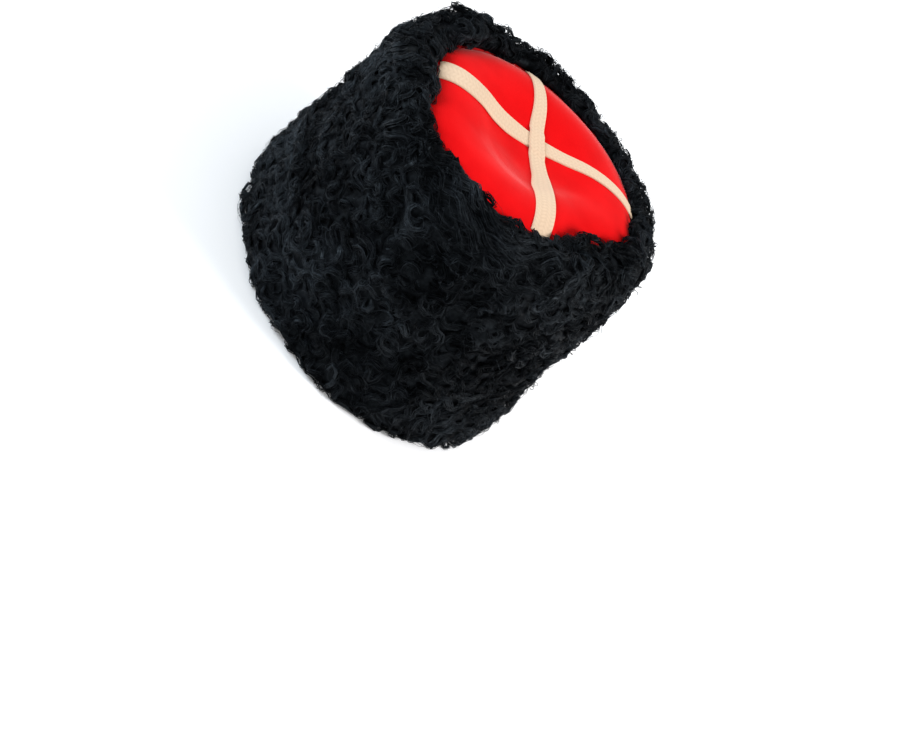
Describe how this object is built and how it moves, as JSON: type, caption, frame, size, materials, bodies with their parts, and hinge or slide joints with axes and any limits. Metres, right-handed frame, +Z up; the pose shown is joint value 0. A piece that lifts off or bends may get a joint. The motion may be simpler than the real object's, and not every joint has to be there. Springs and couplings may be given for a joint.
{
  "type": "papakha",
  "caption": "Tall round hat of black curly lambskin with a sunk red cloth crown crossed by two cream braids, open below for the head",
  "frame": {"origin": "Centre of the rim, on the surface that the hat stands on", "axes": "+Z is up through the crown, -Y is towards the brow and +X is towards the wearer's left"},
  "size_m": [0.2073, 0.2316, 0.1534],
  "materials": {
    "fleece": "black lambskin with tight lustrous curls",
    "crown_cloth": "bright red woollen cloth, napped and matt",
    "braid": "woven cream braid with a soft sheen"
  },
  "bodies": {
    "root": {"fur_body": "fleece", "crown_cloth": "crown_cloth", "side_braid": "braid", "long_braid": "braid"}
  },
  "joints": []
}
